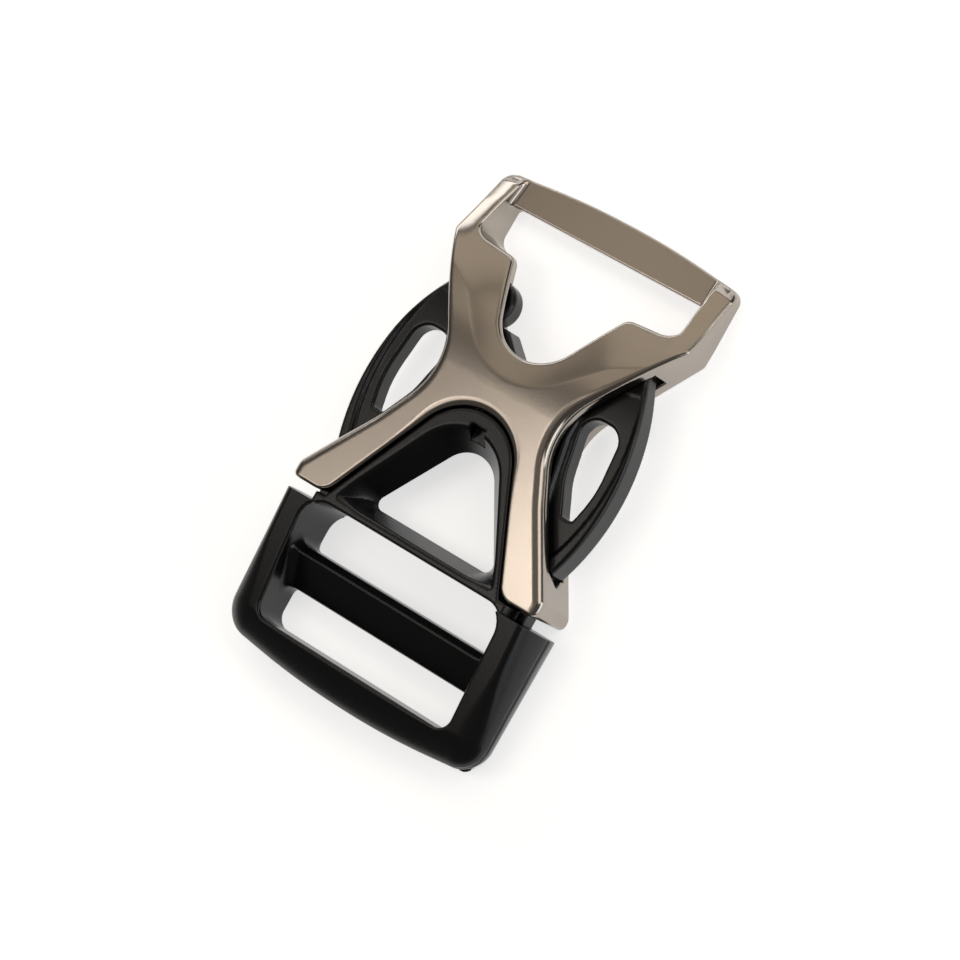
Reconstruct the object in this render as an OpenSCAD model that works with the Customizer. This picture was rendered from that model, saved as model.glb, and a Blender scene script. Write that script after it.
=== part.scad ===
// Side-release buckle for webbing, fastened, lying flat.
// X runs across the webbing, Y along it towards the strap bar, Z up.
// The origin is under the middle of the whole buckle, on the surface it lies on.

/* [Overall] */
// Length of the fastened buckle, end bar to strap bar
buckle_l = 57.9; // [57:0.1:60]
// Width across the insert's side rails
rail_w = 35; // [34.4:0.1:35.4]
// Height of the receiver's flat top
receiver_h = 7.3; // [7.1:0.1:7.6]
// Height of the insert at its shoulders
insert_h = 7.5; // [7.3:0.1:7.7]

/* [Receiver] */
// Thickness of the top plate and of the bottom plate
plate_t = 1.8; // [1.6:0.1:2]
// Width of the strap slot
strap_slot_w = 25; // [24.6:0.1:25.4]
// Width across the outer sides of the legs
leg_w = 31.3; // [30.8:0.1:31.6]
// Width across the outer corners of the mouth
mouth_w = 33.5; // [33:0.1:33.8]
// Y of the mouth
mouth_y = -10.6; // [-10.8:0.1:-10.4]
// Thickness of the strap bar at its inner edge
strap_bar_t = 1.9; // [1.7:0.1:2.2]
// Width of the waist of the X
waist_w = 16.1; // [15.6:0.1:16.6]

/* [Insert] */
// Width of the slot beside the crossbar
insert_slot_w = 26.8; // [26.6:0.1:27]
// Y of the shoulders that face the mouth
shoulder_y = -11.85; // [-12:0.05:-11.8]
// Thickness of the end bar, measured along the webbing
end_bar_w = 3.8; // [3.6:0.1:4]
// Height of the middle bar's ridge
middle_bar_h = 5.1; // [4.6:0.1:5.4]

/* [Fit] */
// Gap between the two pieces where they slide
gap = 0.2; // [0.15:0.05:0.3]

/* [Hidden] */
arc_step = 10;
arc_length = 1.2;
half_l = buckle_l / 2;
mid_z = receiver_h / 2;
through = 40;

// The receiver's top bends down at the upper arms, runs down the legs and ends in a steep bevel
leg_foot = [20.3, 5.25];
leg_tip = [27.1, 2.3];
bevel_end = [28.3, 1.25];

// The opening between the lower arms: a wedge whose tip is rounded
opening_tip_y = 12.85;
opening_half_angle = 27.15;
opening_r = 6.6;

// The legs' inner walls lean outwards as they rise, and the strap bar's top falls towards its outer edge
leg_lean = 0.2;
lean_from_x = 9;
bar_slope = 0.18;
bar_y = 25;

// The side window's lower end, the block above it and the rib under the waist
window_end_y = -6.7;
block_y = 16.5;
wall_inner_w = 29;
rib_w = 1.7;
rib_y = 5.2;

// Where the insert's crossbar meets the first slot, how far the guide lies under the metal's top, and the
// floor of the grooves at the crossbar's ends
crossbar_y = -11.4;
crossbar_reach = 12.2;
guide_drop = 0.35;
groove_z = 4.2;
groove_end_y = -10.2;
foot_at = [14.2, -26.65];
foot_r = 1.3;

// The insert's parts between the plates
inner_z = plate_t + gap;
neck_w = wall_inner_w - 2 * gap;
head_at = [7.4, 15.2];
head_r = 2.4;
wing_r = 25;
wing_centre = [-8.6, 2.9];
rim_r = 23.5;
rim_centre = [-8, 4.5];

// The corners of an outline: x, y and the radius that rounds each one
function unit(v) = v / norm(v);
function turn(a) = a > 180 ? a - 360 : a < -180 ? a + 360 : a;
function angle_of(v) = atan2(v[1], v[0]);
function corner_arc(before, at, after, r) =
    let (
        u = unit(before - at),
        v = unit(after - at),
        half = acos(u * v) / 2,
        centre = at + unit(u + v) * r / sin(half),
        start = angle_of(at + u * r / tan(half) - centre),
        sweep = turn(angle_of(at + v * r / tan(half) - centre) - start),
        steps = ceil(max(abs(sweep) / arc_step, abs(sweep) * PI / 180 * r / arc_length))
    )
    [for (i = [0:steps]) centre + r * [cos(start + sweep * i / steps), sin(start + sweep * i / steps)]];
function flat(p) = [p[0], p[1]];
function rounded(corners) =
    let (n = len(corners))
    [for (i = [0:n - 1])
        let (c = corners[i], before = flat(corners[(i + n - 1) % n]), after = flat(corners[(i + 1) % n]))
        each c[2] == 0 ? [flat(c)] : corner_arc(before, flat(c), after, c[2])];
// A right half outline, from the axis out and back to the axis, with its mirror image
function both_sides(right) =
    let (n = len(right))
    concat(right, [for (i = [n - 1:-1:0]) if (right[i][0] > 0) [-right[i][0], right[i][1], right[i][2]]]);

// A line through corners that is rounded at each one but its two ends
function rounded_line(corners) =
    let (last = len(corners) - 1)
    [for (i = [0:last])
        each i == 0 || i == last
            ? [flat(corners[i])]
            : corner_arc(flat(corners[i - 1]), flat(corners[i]), flat(corners[i + 1]), corners[i][2])];

// The receiver's top line: y, z and the radius at each corner
top_corners = [
    [mouth_y - 3, receiver_h, 0],
    [13.3, receiver_h, 42],
    [leg_foot[0], leg_foot[1], 18],
    [leg_tip[0], leg_tip[1], 1],
    [bevel_end[0], bevel_end[1], 0.5],
    [half_l + 3, 0.9, 0],
];
function top_line(drop) = [for (p = rounded_line(top_corners)) p - [0, drop]];

// Side view of everything between floor_z and the top line lowered by drop, as far as the upper arms
function below_top(drop, floor_z) =
    let (
        points = [for (p = top_line(drop)) if (p[0] <= 23) p],
        last_y = points[len(points) - 1][0]
    )
    concat([[last_y, floor_z], [points[0][0], floor_z]], points);

// Height of the insert's top at y: it falls from the shoulders towards the end bar
shoulder_slope = 0.15;
insert_arch_r = 300;
function insert_top(y) =
    let (d = shoulder_y - y)
    insert_h - shoulder_slope * d - d * d / (2 * insert_arch_r);

// Solid of a side view, given as points of y and z, across the whole width
module across(points, w = through) {
    translate([-w / 2, 0, 0])
        rotate([90, 0, 90])
            linear_extrude(w)
                polygon(points);
}

module mirrored() {
    children();
    mirror([1, 0, 0])
        children();
}

module slab(z0, z1) {
    translate([0, 0, z0])
        linear_extrude(z1 - z0)
            children();
}

// Outline of the X plate with its legs and strap bar, without its openings
module x_outline() {
    mouth = mouth_w / 2;
    polygon(rounded(both_sides([
        [0, mouth_y, 0],
        [mouth, mouth_y, 1.1],
        [mouth, mouth_y + 1.65, 1.6],
        [11.1, -0.45, 20],
        [waist_w / 2 - 0.95, 6.8, 7.5],
        [leg_w / 2, 20.2, 0.5],
        [leg_w / 2 - 0.15, 27.95, 1.3],
        [5.5, half_l, 95],
    ])));
}

// The wedge between the lower arms, grown by extra
module lower_opening(extra = 0) {
    tip_y = opening_tip_y + extra / sin(opening_half_angle);
    low_y = mouth_y - 2;
    low_x = (tip_y - low_y) * tan(opening_half_angle);
    polygon(rounded([
        [0, tip_y, opening_r + extra],
        [low_x, low_y, 0],
        [-low_x, low_y, 0],
    ]));
}

// Strap slot with the V between its two blunt teeth
module strap_opening() {
    slot = strap_slot_w / 2;
    polygon(rounded(both_sides([
        [0, bar_y, 0],
        [slot, bar_y, 0.8],
        [slot, 20.6, 1.5],
        [7.6, 20.15, 1.3],
        [0, 4.98, 5.23],
    ])));
}

// The V is wider in the bottom plate
module lower_v() {
    polygon(rounded(both_sides([
        [0, 23, 0],
        [11, 23, 0],
        [11.3, 20.2, 0],
        [10, 17.9, 1],
        [6.6, 13.4, 1],
        [3, 11.4, 1],
        [0, 11.4, 0],
    ])));
}

// Room for the insert between the plates: plan view
module cavity_plan() {
    wall = wall_inner_w / 2;
    difference() {
        union() {
            translate([-wall, mouth_y - 1])
                square([2 * wall, 12]);
            translate([-through / 2, window_end_y])
                square([through, block_y - window_end_y]);
            translate([-12.3, block_y - 1])
                square([24.6, 4]);
        }
        translate([-rib_w / 2, rib_y])
            square([rib_w, 6]);
    }
}

// The room's roof keeps the plate's thickness under the bent top
module cavity() {
    intersection() {
        slab(0, receiver_h)
            cavity_plan();
        across(below_top(plate_t, plate_t));
    }
}

// Side view of the receiver
module receiver_side() {
    across(concat([[half_l + 3, 0], [mouth_y - 3, 0]], top_line(0)));
}

// End of the strap slot, which widens as it rises because the leg's wall leans
module slot_end() {
    length = strap_slot_w / 2 - lean_from_x;
    translate([lean_from_x, 0, 0])
        linear_extrude(receiver_h, scale = [1 + leg_lean * receiver_h / length, 1])
            intersection() {
                translate([-lean_from_x, 0])
                    strap_opening();
                translate([0, 15])
                    square([length + 1, 15]);
            }
}

// Room between the leaning legs above the strap bar
module above_strap_bar() {
    foot = strap_slot_w / 2;
    head = foot + leg_lean * receiver_h;
    out_y = half_l + 1;
    in_y = bar_y - 0.9;
    intersection() {
        translate([0, out_y, 0])
            rotate([90, 0, 0])
                linear_extrude(out_y - in_y)
                    polygon([[-foot, 0], [foot, 0], [head, receiver_h], [-head, receiver_h]]);
        across([
            [in_y, strap_bar_t],
            [bar_y, strap_bar_t],
            [out_y, strap_bar_t - bar_slope * (out_y - bar_y)],
            [out_y, receiver_h],
            [in_y, receiver_h],
        ]);
    }
}

module receiver() {
    color([0.55, 0.51, 0.46])
        difference() {
            intersection() {
                slab(0, receiver_h)
                    x_outline();
                receiver_side();
            }
            cavity();
            above_strap_bar();
            mirrored()
                slot_end();
            slab(-1, receiver_h + 1)
                lower_opening();
            slab(-1, receiver_h + 1)
                strap_opening();
            slab(-1, mid_z)
                lower_v();
        }
}

// Outline of the rails and bars at the webbing end
module frame_outline() {
    side = rail_w / 2;
    polygon(rounded(both_sides([
        [0, shoulder_y, 0],
        [side - 0.25, shoulder_y, 0.3],
        [side, -19, 15],
        [side, -27.6, 3.4],
        [6, -half_l, 95],
    ])));
}

// Everything inside the rails, from the shoulders to the end bar
module webbing_opening() {
    near = insert_slot_w / 2;
    far = near - 0.3;
    polygon(rounded([
        [near, crossbar_y, 2.5],
        [far, end_bar_w - half_l, 1.6],
        [-far, end_bar_w - half_l, 1.6],
        [-near, crossbar_y, 2.5],
    ]));
}

// Side view of the rails and the end bar, with the end bar's nose rounded
module frame_side() {
    nose_y = 0.4 - half_l;
    nose = [[nose_y + 0.3, 0], [-half_l, 0.9], [-half_l, insert_top(nose_y) - 1]];
    top = [for (y = [nose_y:1.7:shoulder_y]) [y, insert_top(y)]];
    across(concat([[shoulder_y, insert_h], [shoulder_y, 0]], nose, top));
}

// Front view that makes the rails' outer sides convex
module rail_front() {
    side = rail_w / 2;
    rotate([90, 0, 0])
        linear_extrude(2 * through, center = true)
            polygon(rounded(both_sides([
                [0, 0, 0],
                [side - 1.1, 0, 0.5],
                [side, 3.5, 0.5],
                [side - 0.5, 5.5, 3],
                [side - 1.7, insert_h, 0.4],
                [0, insert_h, 0],
            ])));
}

module middle_bar() {
    span = insert_slot_w + 2;
    top_y = -16.35;
    low_y = -20.85;
    across(rounded([
        [top_y, 0.6, 0.5],
        [top_y, middle_bar_h - 1, 0.6],
        [top_y - 0.8, middle_bar_h, 0.3],
        [low_y, 2.6, 0.6],
        [low_y, 0.6, 0.5],
    ]), span);
}

// The guide's window: its walls lean in to the middle of the thickness
module window_outline(tip_y, half_angle, tip_r, low_y, low_r) {
    low_x = (tip_y - low_y) * tan(half_angle);
    polygon(rounded([
        [0, tip_y, tip_r],
        [low_x, low_y, low_r],
        [-low_x, low_y, low_r],
    ]));
}

module window_half() {
    hull() {
        slab(mid_z, mid_z + 0.1)
            window_outline(3.63, 33, 3.5, -9.3, 1);
        slab(receiver_h, receiver_h + 0.1)
            window_outline(9.14, 29.7, 6.1, -10.6, 0.8);
    }
}

module guide_window() {
    window_half();
    translate([0, 0, 2 * mid_z])
        mirror([0, 0, 1])
            window_half();
}

// The guide fills the opening between the lower arms, and the crossbar closes its wide end
module guide() {
    slab(guide_drop, receiver_h - guide_drop) {
        intersection() {
            lower_opening(-gap);
            translate([-through / 2, crossbar_y])
                square([through, through]);
        }
        translate([-crossbar_reach, crossbar_y - 2.6])
            square([2 * crossbar_reach, 3.2]);
    }
}

// Neck and tongue, which lie between the plates
module tongue_plan() {
    translate([-neck_w / 2, crossbar_y - 1])
        square([neck_w, 4.9]);
    polygon(rounded(both_sides([
        [0, -8, 0],
        [10.4, -8, 0],
        [3.9, 5, 3],
        [5.2, 13.3, 0.3],
        [3.8, 13.3, 0.3],
        [1.1, 11.2, 0],
    ])));
}

// A prong bows out from the neck as a wing, whose lower end catches behind the mouth's side wall
module wing_plan() {
    intersection() {
        translate(wing_centre)
            circle(wing_r, $fn = 180);
        polygon(rounded([
            [18, -6.5, 0],
            [14.3, -6.5, 0],
            [14.2, -8.5, 0],
            [11.3, -8.5, 0],
            [11.9, -5.4, 3],
            [9.6, -0.5, 4],
            [7.7, 7, 6],
            [9.5, 13.2, 3],
            [12, 16.2, 0.5],
            [18, 16.2, 0],
        ]));
    }
}

module wing_hole() {
    polygon(rounded([
        [12.2, -0.4, 0.3],
        [10.3, 3.2, 8],
        [8.7, 9.9, 1.8],
        [13.6, 9.9, 2],
        [14.3, 3, 12],
        [13.5, -0.4, 0.4],
    ]));
}

module prong_plan() {
    difference() {
        union() {
            wing_plan();
            translate(head_at)
                circle(head_r, $fn = 48);
            polygon([head_at + [0, head_r], head_at - [0, head_r], [9.5, 12.4], [12, 13], [12.5, 16.2]]);
        }
        wing_hole();
    }
}

// Web of the wing lies lower than its rim
module prong() {
    web_t = 2.4;
    difference() {
        slab(inner_z, receiver_h)
            prong_plan();
        slab(mid_z + web_t / 2, receiver_h)
            web_plan();
        slab(0, mid_z - web_t / 2)
            web_plan();
    }
}

module web_plan() {
    intersection() {
        translate(rim_centre)
            circle(rim_r, $fn = 180);
        polygon([[16, -4.9], [12.2, -4.9], [10.4, -0.8], [8.6, 7], [8.6, 10], [10.2, 13.4], [16, 14.6]]);
    }
}

// Everything but the middle bar, which alone crosses the webbing opening
module insert_blank() {
    intersection() {
        slab(0, insert_h)
            frame_outline();
        frame_side();
        rail_front();
    }
    guide();
    intersection() {
        union() {
            slab(0, receiver_h)
                tongue_plan();
            mirrored()
                prong();
        }
        across(below_top(plate_t + gap, inner_z));
    }
    mirrored()
        translate(foot_at)
            cylinder(r = foot_r, h = 0.3, $fn = 32);
}

module insert() {
    color([0.09, 0.09, 0.1])
        difference() {
            union() {
                difference() {
                    insert_blank();
                    slab(-1, insert_h + 1)
                        webbing_opening();
                }
                middle_bar();
            }
            guide_window();
            // Room for the rib
            slab(-1, receiver_h + 1)
                translate([-rib_w / 2 - gap, rib_y - gap])
                    square([rib_w + 2 * gap, 15]);
            // Grooves between the shoulders and the mouth
            mirrored()
                slab(groove_z, receiver_h + 1)
                    translate([crossbar_reach, shoulder_y])
                        square([5, groove_end_y - shoulder_y]);
            // Notch over the window's tip
            slab(5.3, receiver_h + 1)
                translate([-1, 1.2])
                    square([2, 2.1]);
        }
}

receiver();
insert();
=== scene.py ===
"""The looks of the fastened side-release buckle: two smooth cast and moulded pieces, floor, lights, camera.

Each piece is the zero level of a distance function in millimetres, which a surface net turns into a mesh.
"""

import math
from collections import namedtuple

import bpy
import numpy as np
from mathutils import Matrix, Vector


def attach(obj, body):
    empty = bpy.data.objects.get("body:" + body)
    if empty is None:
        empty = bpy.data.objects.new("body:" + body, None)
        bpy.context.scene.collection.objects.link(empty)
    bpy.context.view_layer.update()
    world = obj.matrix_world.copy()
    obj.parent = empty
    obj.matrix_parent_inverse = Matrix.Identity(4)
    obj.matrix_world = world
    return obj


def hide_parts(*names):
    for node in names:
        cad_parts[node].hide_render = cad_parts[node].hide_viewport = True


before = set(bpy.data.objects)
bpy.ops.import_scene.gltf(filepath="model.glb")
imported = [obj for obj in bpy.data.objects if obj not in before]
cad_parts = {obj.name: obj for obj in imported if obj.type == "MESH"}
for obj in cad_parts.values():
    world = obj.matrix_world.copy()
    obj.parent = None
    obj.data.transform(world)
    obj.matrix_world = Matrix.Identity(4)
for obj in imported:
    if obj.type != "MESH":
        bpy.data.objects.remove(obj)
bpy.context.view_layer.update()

MM = 0.001

# Sizes of the mesh cells, which keep each piece under 200,000 triangles
COARSE = 1
RECEIVER_STEP = 0.18 * COARSE
INSERT_STEP = 0.215 * COARSE

# Main sizes in millimetres. The buckle's middle is at x 0 and y 0, the strap bar lies towards +y, and z is
# the height above the floor.
HALF_LENGTH = 28.95
RECEIVER_TOP = 7.3
MID_Z = RECEIVER_TOP / 2
PLATE = 1.8
GAP = 0.2
MOUTH_Y = -10.6


# Outlines: closed paths of lines and arcs

# The least length that a line counts with, so that a line of no length does no harm
TINY_LENGTH = 1e-9

# An arc from first to last. Bend is 1 where the outline is convex and -1 where it is hollow, facing is
# the direction from the centre to the arc's middle, and spread is half the angle that the arc covers.
Arc = namedtuple("Arc", "first last centre radius bend facing spread")


def path_pieces(corners):
    """Lines and arcs of a closed outline, from its corners: u, v and the radius that rounds each one."""
    points = np.array([c[:2] for c in corners], float)
    area = np.sum(points[:, 0] * np.roll(points[:, 1], -1) - np.roll(points[:, 0], -1) * points[:, 1])
    if area < 0:
        corners = list(reversed(corners))
        points = points[::-1]
    arcs = []
    for i, (_, _, radius) in enumerate(corners):
        at = points[i]
        back = points[i - 1] - at
        ahead = points[(i + 1) % len(corners)] - at
        back /= np.hypot(*back)
        ahead /= np.hypot(*ahead)
        half = math.acos(np.clip(back @ ahead, -1, 1)) / 2
        reach = radius / math.tan(half)
        middle = (back + ahead) / np.hypot(*(back + ahead))
        centre = at + middle * radius / math.sin(half)
        first = at + back * reach
        last = at + ahead * reach
        bend = 1.0 if back[0] * ahead[1] - back[1] * ahead[0] < 0 else -1.0
        facing = math.atan2(-middle[1], -middle[0])
        arcs.append(Arc(first, last, centre, radius, bend, facing, math.pi / 2 - half))
    lines = [(arcs[i - 1].last, arcs[i].first) for i in range(len(arcs))]
    for i, (start, end) in enumerate(lines):
        if (end - start) @ (points[i] - points[i - 1]) < 0:
            raise ValueError(f"the corner radii at {points[i - 1]} and {points[i]} don't fit between them")
    return lines, arcs


def outline(corners):
    """A function of u and v: the signed distance to the outline, negative inside it."""
    lines, arcs = path_pieces(corners)

    def distance(u, v):
        best = np.full(np.broadcast(u, v).shape, np.inf)
        for start, end in lines:
            along = end - start
            length = max(np.hypot(*along), TINY_LENGTH)
            along = along / length
            reach = np.clip((u - start[0]) * along[0] + (v - start[1]) * along[1], 0, length)
            away_u = u - start[0] - along[0] * reach
            away_v = v - start[1] - along[1] * reach
            away = np.hypot(away_u, away_v)
            signed = np.where(along[0] * away_v - along[1] * away_u > 0, -away, away)
            best = np.where(away < np.abs(best), signed, best)
        for arc in arcs:
            du = u - arc.centre[0]
            dv = v - arc.centre[1]
            out = np.hypot(du, dv)
            towards = du * math.cos(arc.facing) + dv * math.sin(arc.facing)
            on_arc = towards >= out * math.cos(arc.spread)
            signed = (out - arc.radius) * arc.bend
            best = np.where(on_arc & (np.abs(signed) < np.abs(best)), signed, best)
        return best

    return distance


def both_sides(right):
    """The corners of an outline that is its own mirror image, from those of its right half."""
    return list(right) + [(-u, v, r) for u, v, r in reversed(right) if u > 0]


# Ways to join distances. The radius rounds the edge or fills the corner between two surfaces.


def meet(a, b, radius):
    """Where both a and b are solid."""
    a = a + radius
    b = b + radius
    return np.minimum(np.maximum(a, b), 0) + np.hypot(np.maximum(a, 0), np.maximum(b, 0)) - radius


def join(a, b, radius):
    """Where a or b is solid."""
    return -meet(-a, -b, radius)


def cut(a, b, radius):
    """a without b."""
    return meet(a, -b, radius)


def ease(value, start, end):
    """0 before start, 1 past end, smooth between them. The end may be the lower of the two."""
    t = np.clip((value - start) / (end - start), 0, 1)
    return t * t * (3 - 2 * t)


def slab(value, low, high):
    """Distance to the space between low and high."""
    return np.maximum(low - value, value - high)


def circle(x, y, centre, radius):
    """Distance to the inside of a circle."""
    return np.hypot(x - centre[0], y - centre[1]) - radius


# The receiver

# The mouth's outer corners, the strap bar's inner edge, and how far the legs' inner walls lean out for each
# millimetre of height
MOUTH_X = 16.85
BAR_Y = 25.0
LEG_LEAN = 0.2

# Each corner of an outline is x, y and the radius that rounds it. In an outline whose name ends in SIDE it
# is y, z and the radius.
X_OUTLINE = outline(both_sides([
    (16.75, MOUTH_Y - 6, 0.1),
    (16.75, -8.95, 1.6),
    (11.1, -0.45, 20),
    (7.1, 6.8, 7.5),
    (15.65, 20.2, 0.5),
    (15.5, 27.95, 1.3),
    (5.5, HALF_LENGTH, 95),
]))
RECEIVER_SIDE = outline([
    (-20, 0, 0.1),
    (-20, RECEIVER_TOP, 0.1),
    (13.3, RECEIVER_TOP, 42),
    (20.3, 5.25, 18),
    (27.1, 2.3, 1.0),
    (28.3, 1.25, 0.5),
    (31, 0.9, 0.1),
    (31, 0, 0.1),
])
WINDOW_SIDE = outline([
    (-7.0, MID_Z, 0.3),
    (-5.75, 5.6, 0.6),
    (30, 5.7, 0.1),
    (30, 1.6, 0.1),
    (-5.75, 1.7, 0.6),
])
LOWER_OPENING = outline([
    (0, 12.85, 6.6),
    (14.08, -14.6, 0.1),
    (-14.08, -14.6, 0.1),
])
STRAP_OPENING = outline(both_sides([
    (12.5, 34, 0.8),
    (12.5, 20.6, 1.5),
    (7.6, 20.15, 1.3),
    (0, 4.98, 5.23),
]))
LOWER_V = outline(both_sides([
    (11, 23, 0.5),
    (11.3, 20.2, 0.3),
    (10, 17.9, 1),
    (6.6, 13.4, 1),
    (3, 11.4, 1),
]))
CREASE = outline(both_sides([
    (20, 30, 0.1),
    (20, 21.3, 0.1),
    (9.3, 14.9, 3),
    (0, 5.3, 8.1),
]))

# Stretches of y in which one form goes over into the next: from the V to the waist, from the arms to the
# legs, from the arms' outline to the legs' outline, and from the mouth to the lower opening's apex
TO_WAIST = (17, 8)
TO_LEG = (19.5, 22)
TO_LEG_OUTLINE = (19, 24)
TO_APEX = (-3, 4)

# Rounding of the outer edges, and what the legs and the waist add to it
EDGE_R = 0.5
LEG_EDGE = -0.15
WAIST_EDGE_DEPTH = 0.6
WAIST_EDGE_WIDTH = 0.75
WAIST_EDGE_Z = (3, 5.5)

# Rounding of the lower opening's edge, what the apex adds to it, and how far it is stretched there
OPENING_EDGE = 0.35
APEX_EDGE = 0.15
APEX_STRETCH = 0.45

# Rounding of the lower arms' ends in plan, on the side of the opening and on the outer side
INNER_END_R = 1.2
OUTER_END_R = 0.95

# The facet round the V: its depth, how far from the crease it gets deep, where and how softly it starts,
# and the heights over which it comes in
FACET_DEPTH = 0.3
FACET_REACH = 2.2
CREASE_OUT = 0.35
CREASE_SOFT = 0.5
FACET_Z = (3, 5)

# The legs' tops fall towards their outer sides: where the fall starts, its slope, how softly it starts, and
# the stretches of y and z over which it comes in
FALL_X = 13.3
FALL_SLOPE = 0.45
FALL_SOFT = 2
FALL_Y = (18, 24)
FALL_Z = (0.5, 2)

# Below the height ARM_TOP the arms' outline shifts by up to this much towards the mouth
ARM_SHIFT = 0.47
ARM_TOP = 6.75

# The room between the plates, the blocks that close it above the side windows, and the rib under the waist
WALL_X = 14.5
ROOM_END_Y = 19.3
WINDOW_END_Y = 16.5
BLOCK_X = 12.3
RIB_X = 0.85
RIB_Y = (5.2, 11.3)

# The plate gets thin round the V
LIP = 1.15
LIP_WIDTH = 1.2
LIP_END_Y = 17.5

# The legs' inner walls: where their lean starts, and the rounding of the strap slot's edge
LEAN_Y = (19.5, 21.5)
LEAN_X = (8, 12)
SLOT_EDGE = 0.4

# The strap bar: top at its inner edge, slope of the top, half length with its roots in the legs, and the y
# past which nothing stands out of the outline
BAR_TOP = 1.9
BAR_SLOPE = 0.18
BAR_X = 14
LIMIT_Y = 24


def face_drop(x, y, z):
    """How far the shallow facet round the V lies below the rest of the top face."""
    inside = np.maximum(CREASE_OUT - CREASE(x, y), 0)
    near_crease = inside * inside / (inside + CREASE_SOFT)
    return FACET_DEPTH * (1 - np.exp(-near_crease / FACET_REACH)) * ease(z, *FACET_Z)


def leg_fall(x, y, z):
    """How far the legs' tops lie lower towards their outer sides."""
    past = np.maximum(x - FALL_X, 0)
    return FALL_SLOPE * ease(y, *FALL_Y) * past * past / (past + FALL_SOFT) * ease(z, *FALL_Z)


def receiver_body(x, y, z):
    """The X before its room and strap opening are cut. Its outer edges are rounded by depth and width."""
    by_waist = ease(y, *TO_WAIST)
    on_leg = ease(y, *TO_LEG)
    depth = EDGE_R + LEG_EDGE * on_leg + WAIST_EDGE_DEPTH * by_waist * ease(z, *WAIST_EDGE_Z)
    width = EDGE_R + WAIST_EDGE_WIDTH * by_waist + LEG_EDGE * on_leg
    face = RECEIVER_SIDE(y, z) + face_drop(x, y, z) + leg_fall(x, y, z)
    shifted_y = y + ARM_SHIFT * np.clip(1 - z / ARM_TOP, 0, 1) * (1 - ease(y, *TO_LEG_OUTLINE))
    body = meet(X_OUTLINE(x, shifted_y) * depth / width, face, depth)

    near_apex = ease(y, *TO_APEX)
    ends = meet(MOUTH_Y - y, -LOWER_OPENING(x, y), INNER_END_R)
    ends = np.maximum(ends, meet(MOUTH_Y - y, x - MOUTH_X, OUTER_END_R))
    return meet(body, ends * (1 - APEX_STRETCH * near_apex), OPENING_EDGE + APEX_EDGE * near_apex)


def receiver_room(x, y, z):
    """The room for the insert between the plates."""
    between = RECEIVER_SIDE(y, z) + PLATE
    inner = np.maximum(x - WALL_X, y - ROOM_END_Y)
    window = np.maximum(WINDOW_SIDE(y, z), y - WINDOW_END_Y)
    room = np.maximum(between, np.minimum(inner, window))
    rib = np.maximum(x - RIB_X, slab(y, *RIB_Y))
    block = np.maximum(BLOCK_X - x, WINDOW_END_Y - y)
    return np.maximum(room, -np.minimum(rib, block))


def strap_bar(x, y, z):
    """The flat bar between the legs' ends."""
    top = BAR_TOP - BAR_SLOPE * (y - BAR_Y)
    bar = meet(meet(X_OUTLINE(x, y), z - top, 0.3), -z, 0.35)
    return np.maximum(meet(bar, BAR_Y - y, 0.18), x - BAR_X)


def receiver_shape(x, y, z):
    """The whole receiver. Both halves are the right one."""
    x = np.abs(x)
    body = cut(receiver_body(x, y, z), receiver_room(x, y, z), 0.2)
    near_v = np.maximum(STRAP_OPENING(x, y) - LIP_WIDTH, y - LIP_END_Y)
    under_lip = np.maximum(RECEIVER_SIDE(y, z) + LIP, MID_Z - z)
    body = cut(body, np.maximum(near_v, under_lip), 0.1)

    lean = LEG_LEAN * z * ease(y, *LEAN_Y) * ease(x, *LEAN_X)
    body = cut(body, STRAP_OPENING(x - lean, y), SLOT_EDGE + LEG_EDGE * ease(y, *TO_LEG))
    body = cut(body, np.maximum(LOWER_V(x, y), z - MID_Z), 0.35)
    limit = np.maximum(-z, np.where(y > LIMIT_Y, X_OUTLINE(x, y), -1))
    return np.maximum(join(body, strap_bar(x, y, z), 0.5), limit)


# The insert

# The rails' outer side, their height at the shoulders, the shoulders' place, and the crossbar's edge at the
# slot
SIDE_X = 17.42
INSERT_TOP = 7.5
SHOULDER_Y = -11.85
CROSSBAR_Y = -11.4

# The corners' columns are those of the receiver's outlines
FRAME_OUTLINE = outline(both_sides([
    (SIDE_X, SHOULDER_Y + 6, 0.1),
    (SIDE_X, -27.6, 3.4),
    (6, -HALF_LENGTH, 95),
]))
WEBBING_OPENING = outline(both_sides([
    (13.4, CROSSBAR_Y, 2.5),
    (13.1, -25.15, 1.6),
]))
BAR_SIDE = outline([
    (-16.35, 0.6, 0.5),
    (-16.35, 4.1, 0.6),
    (-17.15, 5.1, 0.15),
    (-20.85, 2.7, 0.7),
    (-20.85, 0.6, 0.5),
])
WINDOW_MID = outline([
    (0, 3.63, 3.5),
    (8.4, -9.3, 0.8),
    (-8.4, -9.3, 0.8),
])
WINDOW_TOP = outline([
    (0, 9.14, 6.1),
    (11.26, -10.6, 0.6),
    (-11.26, -10.6, 0.6),
])
TONGUE = outline(both_sides([
    (10.4, -8, 0.3),
    (3.9, 5, 3),
    (5.2, 13.3, 0.3),
    (3.8, 13.3, 0.3),
    (1.2, 11.2, 0.3),
]))
WING = outline([
    (17.5, -6.2, 0.1),
    (14.3, -6.2, 0.1),
    (14.2, -8.5, 0.3),
    (11.3, -8.5, 0.3),
    (11.9, -5.4, 3),
    (9.6, -0.5, 4),
    (7.7, 7, 6),
    (9.5, 13.2, 3),
    (12, 16.2, 0.5),
    (17.5, 16.2, 0.1),
])
WING_HOLE = outline([
    (12.2, -0.4, 0.3),
    (10.3, 3.2, 8),
    (8.7, 9.9, 1.8),
    (13.6, 9.9, 2),
    (14.3, 3, 12),
    (13.5, -0.4, 0.4),
])
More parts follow.
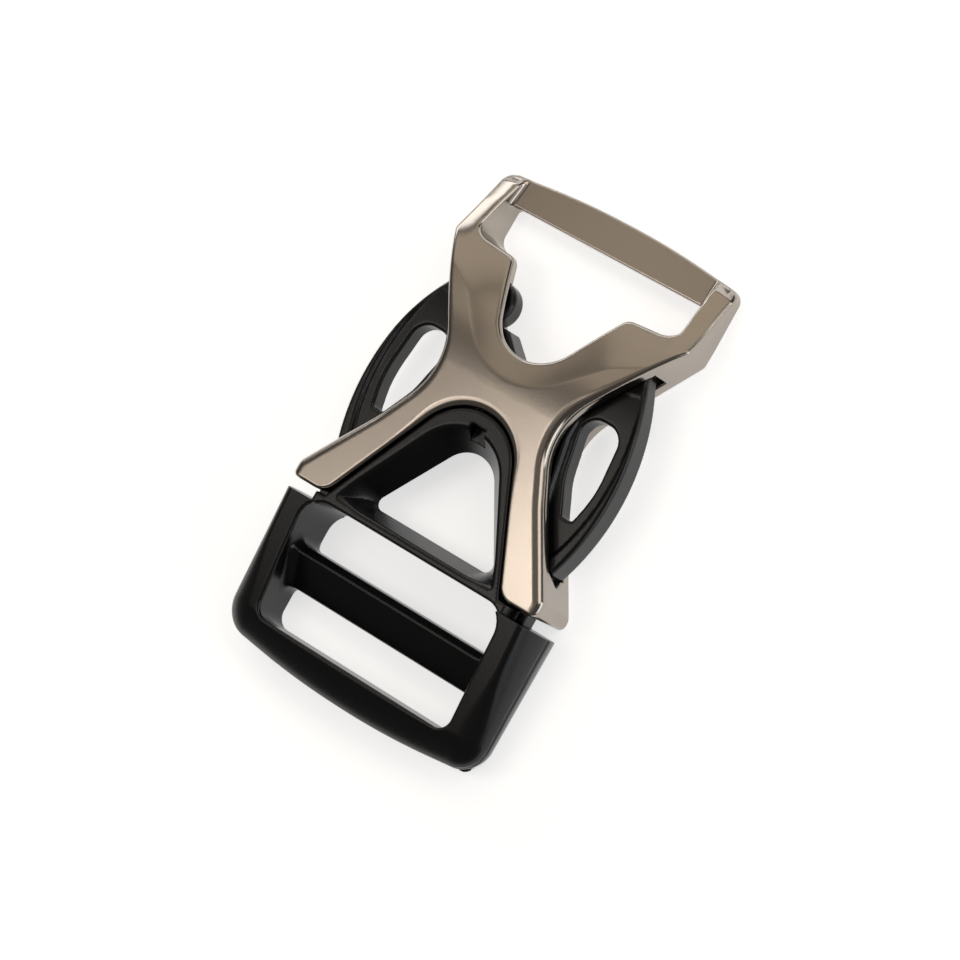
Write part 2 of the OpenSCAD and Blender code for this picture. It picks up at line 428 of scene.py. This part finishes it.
WEB = outline([
    (17, -4.9, 0.3),
    (12.2, -4.9, 0.3),
    (10.4, -0.8, 3),
    (8.6, 7, 3),
    (8.6, 10, 3),
    (10.2, 13.4, 1),
    (17, 14.6, 0.3),
])
HEAD_NECK = outline([
    (7.4, 17.6, 0.3),
    (7.4, 12.8, 0.3),
    (9.5, 12.4, 0.3),
    (12, 13, 0.3),
    (12.5, 16.2, 0.3),
])

# The rails' top falls behind the shoulders: its slope there, and the length that bends it down further
TOP_SLOPE = 0.15
TOP_BEND = 600

# Height of the mould parting line at the shoulders, and the depth and half width of its groove
PARTING_Z = 3.5
PARTING_DEPTH = 0.14
PARTING_REACH = 0.34

# The rails' sides draw in above and below the parting line: taper, bulge and the bulge's power. They go on
# doing so until a little past the edge.
ABOVE_PARTING = (0.3, 1.35, 2.2)
BELOW_PARTING = (0.25, 0.9, 2)
PAST_EDGE = 1.2

# Rounding of the rails' top edge, what the end bar adds to it and where, and scales that bring the sloping
# sides and top back to true distances
RIDGE_R = 0.4
END_BAR_RIDGE = 1.3
TO_END_BAR = (-16, -27)
SIDE_SCALE = 0.9
TOP_SCALE = 0.98

# Rounding of the slots' edges, and what the crossbar adds to it and where
WEBBING_EDGE = 0.4
CROSSBAR_EDGE = -0.15
TO_CROSSBAR = (-14.5, -12.5)

# The middle bar's half length with its roots in the rails, and the fillet round them
MIDDLE_BAR_X = 14.5
MIDDLE_BAR_FILLET = 1.2

# The feet under the end bar
FOOT_AT = (14.2, -26.65)
FOOT_R = 1.3
FOOT_TOP = 0.3
FOOT_BOTTOM = 0.05

# The guide lies a little under the receiver's top, and its crossbar reaches into the rails
GUIDE_DROP = 0.35
CROSSBAR_X = 13.1
CROSSBAR_SPAN = (-14, CROSSBAR_Y + 0.6)

# The neck between the side walls, and the floor and end of the grooves between the shoulders and the mouth
NECK_X = 14.3
NECK_Y = (-12.4, -7.5)
GROOVE_Z = 4.2
GROOVE_END_Y = -10.2

# The prongs: the arcs of the wing and of its rim, the head that catches, and half the web's thickness
WING_CENTRE = (-8.6, 2.9)
WING_R = 25
RIM_CENTRE = (-8, 4.5)
RIM_R = 23.5
HEAD_AT = (7.4, 15.2)
HEAD_R = 2.4
WEB_HALF = 1.2

# The notch over the window's tip
NOTCH_X = 1
NOTCH_Y = (1.2, 3.3)
NOTCH_Z = 5.3


def insert_top(y):
    """Height of the rails and end bar at y."""
    past = np.maximum(SHOULDER_Y - y, 0)
    return INSERT_TOP - TOP_SLOPE * past - past * past / TOP_BEND


def draw_in(share, taper, bulge, power):
    """How far a rail's side draws in at this share of the way from the parting line to the edge."""
    return taper * share + bulge * share**power


def rail_bulge(y, z):
    """How far the rails' sides draw in above and below the parting line, and the groove along it."""
    top = insert_top(y)
    parting = PARTING_Z * np.sqrt(top / INSERT_TOP)
    above = np.clip((z - parting) / (top - parting), 0, PAST_EDGE)
    below = np.clip((parting - z) / parting, 0, PAST_EDGE)
    groove = PARTING_DEPTH * (1 - ease(np.abs(z - parting), 0, PARTING_REACH))
    return draw_in(above, *ABOVE_PARTING) + draw_in(below, *BELOW_PARTING) + groove


def ladder_frame(x, y, z):
    """Rails, end bar, middle bar and feet."""
    sides = (FRAME_OUTLINE(x, y) + rail_bulge(y, z)) * SIDE_SCALE
    top = (z - insert_top(y)) * TOP_SCALE
    rails = meet(sides, top, RIDGE_R + END_BAR_RIDGE * ease(y, *TO_END_BAR))
    rails = meet(rails, -z, 0.5)
    rails = meet(rails, y - SHOULDER_Y, 0.15)
    rails = cut(rails, WEBBING_OPENING(x, y), WEBBING_EDGE + CROSSBAR_EDGE * ease(y, *TO_CROSSBAR))
    rails = join(rails, np.maximum(BAR_SIDE(y, z), x - MIDDLE_BAR_X), MIDDLE_BAR_FILLET)
    foot = meet(circle(x, y, FOOT_AT, FOOT_R), z - FOOT_TOP, 0.2)
    return np.maximum(join(rails, np.maximum(foot, FOOT_BOTTOM - z), 0.3), -z)


def guide(x, y, z):
    """The A-shaped guide between the receiver's lower arms, with the crossbar."""
    plan = np.maximum(LOWER_OPENING(x, y) + GAP, CROSSBAR_Y - y)
    crossbar = np.maximum(x - CROSSBAR_X, slab(y, *CROSSBAR_SPAN))
    plan = np.maximum(np.minimum(plan, crossbar), -WEBBING_OPENING(x, y))
    return meet(plan, slab(z, GUIDE_DROP, RECEIVER_TOP - GUIDE_DROP), 0.3)


def under_roof(y, z):
    """What keeps the gap to both plates."""
    return RECEIVER_SIDE(y, z) + PLATE + GAP


def tongue(x, y, z):
    """The tongue between the plates and the necks that carry the prongs."""
    neck = np.maximum(x - NECK_X, slab(y, *NECK_Y))
    plan = np.maximum(np.minimum(neck, TONGUE(x, y)), -WEBBING_OPENING(x, y))
    shape = meet(plan, under_roof(y, z), 0.3)
    return np.maximum(shape, np.minimum(z - GROOVE_Z, GROOVE_END_Y - y))


def prong(x, y, z):
    """A bowed side prong: the wing with its rim, web and hole, and the head that catches."""
    wing = meet(WING(x, y), circle(x, y, WING_CENTRE, WING_R), 0.3)
    head = join(circle(x, y, HEAD_AT, HEAD_R), HEAD_NECK(x, y), 0.5)
    plan = cut(join(wing, head, 0.8), WING_HOLE(x, y), 0)
    shape = meet(plan, under_roof(y, z), 0.5)
    # Beyond the neck the wing's lower end stays inside the side window
    shape = np.maximum(shape, np.minimum(x - NECK_X, WINDOW_SIDE(y, z) + GAP))
    web = meet(WEB(x, y), circle(x, y, RIM_CENTRE, RIM_R), 0.3)
    recess = meet(web, WEB_HALF - np.abs(z - MID_Z), 0.3)
    return cut(shape, recess, 0.35)


def insert_shape(x, y, z):
    """The whole insert. Both halves are the right one."""
    x = np.abs(x)
    frame_and_guide = np.minimum(ladder_frame(x, y, z), guide(x, y, z))
    shape = np.minimum(frame_and_guide, np.minimum(tongue(x, y, z), prong(x, y, z)))

    # The window widens from the middle height to the top and the bottom
    share = np.clip(np.abs(z - MID_Z) / MID_Z, 0, 1)
    window = WINDOW_MID(x, y) * (1 - share) + WINDOW_TOP(x, y) * share
    shape = cut(shape, window, 0.3)
    notch = np.maximum(np.maximum(x - NOTCH_X, NOTCH_Z - z), slab(y, *NOTCH_Y))
    return np.maximum(shape, -notch)


# Meshing

# The twelve edges of a grid cell, each from its start to its end
EDGES = [
    ((0, 0, 0), (1, 0, 0)),
    ((0, 1, 0), (1, 1, 0)),
    ((0, 0, 1), (1, 0, 1)),
    ((0, 1, 1), (1, 1, 1)),
    ((0, 0, 0), (0, 1, 0)),
    ((1, 0, 0), (1, 1, 0)),
    ((0, 0, 1), (0, 1, 1)),
    ((1, 0, 1), (1, 1, 1)),
    ((0, 0, 0), (0, 0, 1)),
    ((1, 0, 0), (1, 0, 1)),
    ((0, 1, 0), (0, 1, 1)),
    ((1, 1, 0), (1, 1, 1)),
]

# How often the points are moved onto the surface, and the least slopes that a distance is divided by
SETTLE_PASSES = 3
LEAST_SLOPE = 0.5
TINY_SLOPE = 1e-6


def slope(shape, points):
    """Gradient of the distance at each point."""
    size = 0.01
    columns = []
    for axis in range(3):
        shift = np.zeros(3)
        shift[axis] = size
        ahead = shape(*(points + shift).T)
        behind = shape(*(points - shift).T)
        columns.append((ahead - behind) / (2 * size))
    return np.stack(columns, axis=1)


def cell_points(grid, origin, step):
    """A point in each grid cell that the surface crosses, and for each cell the number of its point."""
    cells = np.array(grid.shape) - 1
    total = np.zeros((*cells, 3))
    crossings = np.zeros(cells, int)
    for start, end in EDGES:
        a = grid[tuple(slice(s, s + n) for s, n in zip(start, cells))]
        b = grid[tuple(slice(s, s + n) for s, n in zip(end, cells))]
        crossed = (a < 0) != (b < 0)
        share = np.where(crossed, a / np.where(crossed, a - b, 1), 0)
        for axis in range(3):
            offset = start[axis] + share * (end[axis] - start[axis])
            total[..., axis] += np.where(crossed, offset, 0)
        crossings += crossed
    used = crossings > 0
    number = np.full(cells, -1)
    number[used] = np.arange(used.sum())
    points = origin + step * (np.argwhere(used) + total[used] / crossings[used][:, None])
    return points, number


def edge_quads(grid, number):
    """An outward quad round each grid edge that the surface crosses, from the four cells' points."""
    cells = number.shape
    quads = []
    for axis in range(3):
        one = (axis + 1) % 3
        two = (axis + 2) % 3
        near = [slice(1, n) for n in cells]
        near[axis] = slice(0, cells[axis])
        far = list(near)
        far[axis] = slice(1, cells[axis] + 1)
        a = grid[tuple(near)] < 0
        b = grid[tuple(far)] < 0
        place = np.argwhere(a != b)
        outward = a[a != b]
        place[:, one] += 1
        place[:, two] += 1
        around = []
        for back_one, back_two in ((0, 0), (1, 0), (1, 1), (0, 1)):
            cell = place.copy()
            cell[:, one] -= back_one
            cell[:, two] -= back_two
            around.append(number[tuple(cell.T)])
        quad = np.stack(around, axis=1)
        quad[~outward] = quad[~outward][:, ::-1]
        quads.append(quad)
    return np.concatenate(quads)


def settle(shape, points, step):
    """The points, moved onto the surface."""
    for _ in range(SETTLE_PASSES):
        direction = slope(shape, points)
        steepness = np.maximum(np.sum(direction**2, axis=1), LEAST_SLOPE**2)
        move = shape(*points.T) / steepness
        points = points - direction * np.clip(move, -step, step)[:, None]
    return points


def surface_net(shape, low, high, step):
    """Points, quads and outward normals of the shape's surface between the corners low and high."""
    axes = [np.arange(a - 1.5 * step, b + 2.5 * step, step) for a, b in zip(low, high)]
    grid = shape(*np.meshgrid(*axes, indexing="ij", sparse=True))
    points, number = cell_points(grid, np.array([a[0] for a in axes]), step)
    quads = edge_quads(grid, number)
    points = settle(shape, points, step)
    normals = slope(shape, points)
    normals /= np.maximum(np.linalg.norm(normals, axis=1), TINY_SLOPE)[:, None]
    return points, quads, normals


def smooth_piece(name, shape, low, high, step):
    """An object with the shape's surface as its mesh, shaded by the shape's own normals."""
    points, quads, normals = surface_net(shape, low, high, step)
    mesh = bpy.data.meshes.new(name)
    mesh.from_pydata((points * MM).tolist(), [], quads.tolist())
    mesh.validate()
    mesh.shade_smooth()
    mesh.normals_split_custom_set_from_vertices(normals.tolist())
    piece = bpy.data.objects.new(name, mesh)
    bpy.context.scene.collection.objects.link(piece)
    return piece


# Materials

# Colours in linear RGB
METAL_COLOUR = (0.38, 0.34, 0.3, 1)
PLASTIC_COLOUR = (0.004, 0.004, 0.0045, 1)
FLOOR_COLOUR = (0.9, 0.9, 0.9, 1)


def new_material(name):
    """A material with its nodes, its links and its shader."""
    material = bpy.data.materials.new(name)
    material.use_nodes = True
    nodes = material.node_tree.nodes
    return material, nodes, material.node_tree.links, nodes["Principled BSDF"]


def grain(nodes, links, shader, scale, strength, distance):
    """A fine bump over the whole surface."""
    place = nodes.new("ShaderNodeTexCoord")
    noise = nodes.new("ShaderNodeTexNoise")
    bump = nodes.new("ShaderNodeBump")
    noise.inputs["Scale"].default_value = scale
    noise.inputs["Detail"].default_value = 3
    bump.inputs["Strength"].default_value = strength
    bump.inputs["Distance"].default_value = distance
    links.new(place.outputs["Object"], noise.inputs["Vector"])
    links.new(noise.outputs["Fac"], bump.inputs["Height"])
    links.new(bump.outputs["Normal"], shader.inputs["Normal"])


def satin_metal():
    """Gunmetal plating over a casting."""
    material, nodes, links, shader = new_material("satin gunmetal")
    shader.inputs["Base Color"].default_value = METAL_COLOUR
    shader.inputs["Metallic"].default_value = 1
    shader.inputs["Roughness"].default_value = 0.18
    grain(nodes, links, shader, scale=9000, strength=0.25, distance=0.008 * MM)
    return material


def black_plastic():
    """Moulded acetal."""
    material, nodes, links, shader = new_material("black acetal")
    shader.inputs["Base Color"].default_value = PLASTIC_COLOUR
    shader.inputs["Roughness"].default_value = 0.27
    shader.inputs["Specular IOR Level"].default_value = 0.4
    grain(nodes, links, shader, scale=4200, strength=0.25, distance=0.02 * MM)
    return material


# The two pieces, each made between two corners of a box round it
RECEIVER_BOX = ((-16.8, -10.7, 0), (16.8, 29, 7.4))
INSERT_BOX = ((-17.6, -29, 0), (17.6, 17.7, 7.6))

receiver = smooth_piece("receiver_looks", receiver_shape, *RECEIVER_BOX, RECEIVER_STEP)
receiver.data.materials.append(satin_metal())
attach(receiver, "root")
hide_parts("receiver")

insert = smooth_piece("insert_looks", insert_shape, *INSERT_BOX, INSERT_STEP)
insert.data.materials.append(black_plastic())
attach(insert, "root")
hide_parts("insert")


# Floor, lights and camera

# Light colours
WHITE = (1, 1, 1)
WARM = (1, 0.93, 0.86)
AMBER = (1, 0.87, 0.7)
COOL = (0.92, 0.96, 1)

# The energy per square metre, in watts, with which an area light is as bright as a shader that emits 1
GLOW_WATTS = 4

# Lights above the buckle, in millimetres: name, the x and the y that it covers, height, glow and colour
OVERHEAD = [
    ("key", (-300, -20), (-195, -28), 500, 1.2, WARM),
    ("key core", (-271, -195), (-28, 3), 500, 4.8, WARM),
    ("key left", (-540, -302), (-178, -58), 500, 1.2, WARM),
    ("key tail", (-262, -150), (6, 60), 500, 0.6, WARM),
    ("key patch", (-350, -302), (-57, -20), 500, 0.8, WARM),
    ("fill core", (-340, -250), (140, 285), 500, 0.45, AMBER),
    ("back", (-480, 150), (330, 850), 500, 0.42, AMBER),
    ("fill", (-560, 200), (-250, 850), 520, 0.12, AMBER),
]

# Lights beside the buckle, in millimetres: name, place, width, depth, glow and colour
BESIDE = [
    ("low", (-475, 330, 180), 400, 170, 2.3, WHITE),
    ("low back", (-200, 630, 130), 480, 250, 1.0, WHITE),
    ("edge", (350, 370, 430), 260, 280, 1.6, WARM),
    ("side", (680, 160, 230), 650, 280, 2.0, COOL),
]

# The photograph's camera: the point that it aims at and its distance from there, its direction from there,
# how it is turned about its own axis, and its lens and the sensor's width
AIM = (-0.728, -1.462, 0)
DISTANCE = 435.787
AZIMUTH = math.radians(1.396)
FROM_ABOVE = math.radians(29.565)
ROLL = math.radians(-61.295)
LENS = 158.46
SENSOR = 36


def make_floor():
    """A pale floor with a glow of its own."""
    bpy.ops.mesh.primitive_plane_add(size=3)
    floor = bpy.context.object
    floor.name = "floor"
    material, _, _, shader = new_material("pale floor")
    shader.inputs["Base Color"].default_value = FLOOR_COLOUR
    shader.inputs["Roughness"].default_value = 0.9
    shader.inputs["Specular IOR Level"].default_value = 0
    shader.inputs["Emission Color"].default_value = (1, 1, 1, 1)
    shader.inputs["Emission Strength"].default_value = 0.65
    floor.data.materials.append(material)


def soft_light(name, width, depth, glow, colour):
    """An area light of width by depth millimetres that faces straight down."""
    data = bpy.data.lights.new(name, "AREA")
    data.shape = "RECTANGLE"
    data.size = width * MM
    data.size_y = depth * MM
    data.energy = GLOW_WATTS * glow * data.size * data.size_y
    data.color = colour
    light = bpy.data.objects.new(name, data)
    bpy.context.scene.collection.objects.link(light)
    return light


def overhead(name, x_range, y_range, height, glow, colour):
    """A soft light at this height over x_range and y_range."""
    light = soft_light(name, x_range[1] - x_range[0], y_range[1] - y_range[0], glow, colour)
    light.location = Vector((sum(x_range) / 2, sum(y_range) / 2, height)) * MM


def beside(name, place, width, depth, glow, colour):
    """A soft light at place that faces the origin."""
    light = soft_light(name, width, depth, glow, colour)
    light.location = Vector(place) * MM
    light.rotation_euler = (-Vector(place)).to_track_quat("-Z", "Y").to_euler()


def light_the_scene():
    """A faint warm world and the two rows of lights."""
    world = bpy.data.worlds.new("world")
    world.use_nodes = True
    background = world.node_tree.nodes["Background"]
    background.inputs["Color"].default_value = (1, 0.97, 0.93, 1)
    background.inputs["Strength"].default_value = 0.1
    bpy.context.scene.world = world
    for row in OVERHEAD:
        overhead(*row)
    for row in BESIDE:
        beside(*row)


def make_camera():
    """The photograph's camera."""
    data = bpy.data.cameras.new("camera")
    data.sensor_width = SENSOR
    data.lens = LENS
    data.clip_start = 0.01
    camera = bpy.data.objects.new("camera", data)
    bpy.context.scene.collection.objects.link(camera)
    around = Matrix.Rotation(math.pi / 2 + AZIMUTH, 3, "Z")
    down = Matrix.Rotation(FROM_ABOVE, 3, "X")
    turned = around @ down @ Matrix.Rotation(ROLL, 3, "Z")
    camera.matrix_world = turned.to_4x4()
    camera.location = (Vector(AIM) + turned @ Vector((0, 0, DISTANCE))) * MM
    bpy.context.scene.camera = camera


make_floor()
light_the_scene()
make_camera()
bpy.context.scene.view_settings.view_transform = "Standard"
